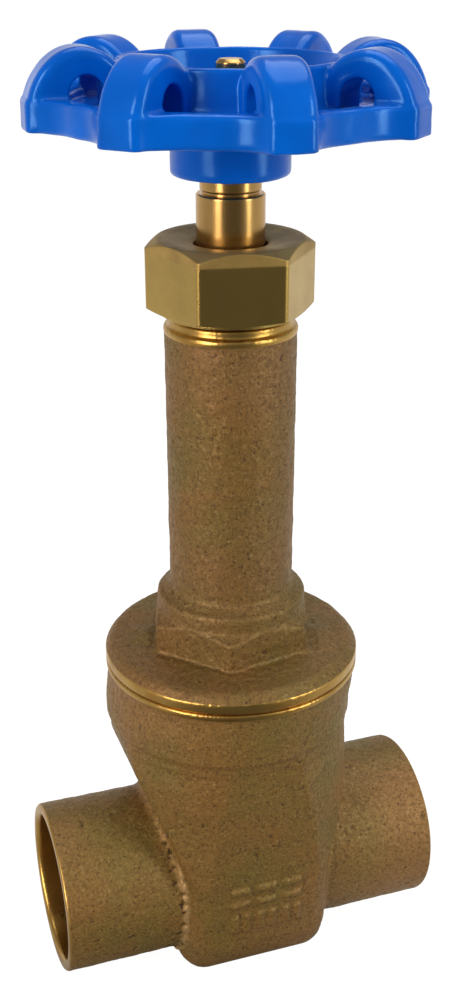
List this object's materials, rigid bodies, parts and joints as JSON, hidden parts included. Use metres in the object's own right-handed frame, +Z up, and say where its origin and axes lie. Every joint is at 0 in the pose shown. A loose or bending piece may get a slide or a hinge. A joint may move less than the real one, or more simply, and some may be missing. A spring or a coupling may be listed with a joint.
{
  "type": "gate valve",
  "caption": "Bronze gate valve with solder sockets, a screwed bonnet on a tall tube, a rising stem and a lobed blue handwheel.",
  "frame": {"origin": "on the stem axis, level with the lowest point of the body; the pipe axis is 19.4 mm above it", "axes": "+X along the pipe, towards the outlet socket; +Z up along the stem, towards the handwheel; -Y is the marked front"},
  "size_m": [0.0768, 0.0688, 0.1801],
  "materials": {
    "cast_bronze": "sand cast, satin",
    "machined_brass": "turned, bright",
    "stem_bronze": "turned, bright",
    "blue_enamel": "gloss enamel",
    "graphite_packing": "braided, graphited",
    "plain_plate": "blank, satin"
  },
  "bodies": {
    "valve_body": {"body": "cast_bronze", "bonnet": "cast_bronze", "packing_gland": "machined_brass", "packing_nut": "machined_brass", "packing_ring_1": "graphite_packing", "packing_ring_2": "graphite_packing", "packing_ring_3": "graphite_packing", "packing_ring_4": "graphite_packing"},
    "gate": {"gate_wedge": "cast_bronze"},
    "stem_and_wheel": {"stem": "stem_bronze", "handwheel": "blue_enamel", "wheel_plate": "plain_plate", "wheel_nut": "machined_brass"}
  },
  "joints": [
    {"name": "gate_lift", "type": "slide", "parent": "valve_body", "child": "gate", "axis": [0, 0, 1], "range_m": [0, 0.0275]},
    {"name": "stem_turn", "type": "hinge", "parent": "gate", "child": "stem_and_wheel", "pos_m": [0, 0, 0.15], "axis": [0, 0, 1], "range_deg": [0, 3118]}
  ],
  "couplings": [
    {"joint": "gate_lift", "follows": "stem_turn", "m_per_rad": 0.00050532}
  ]
}
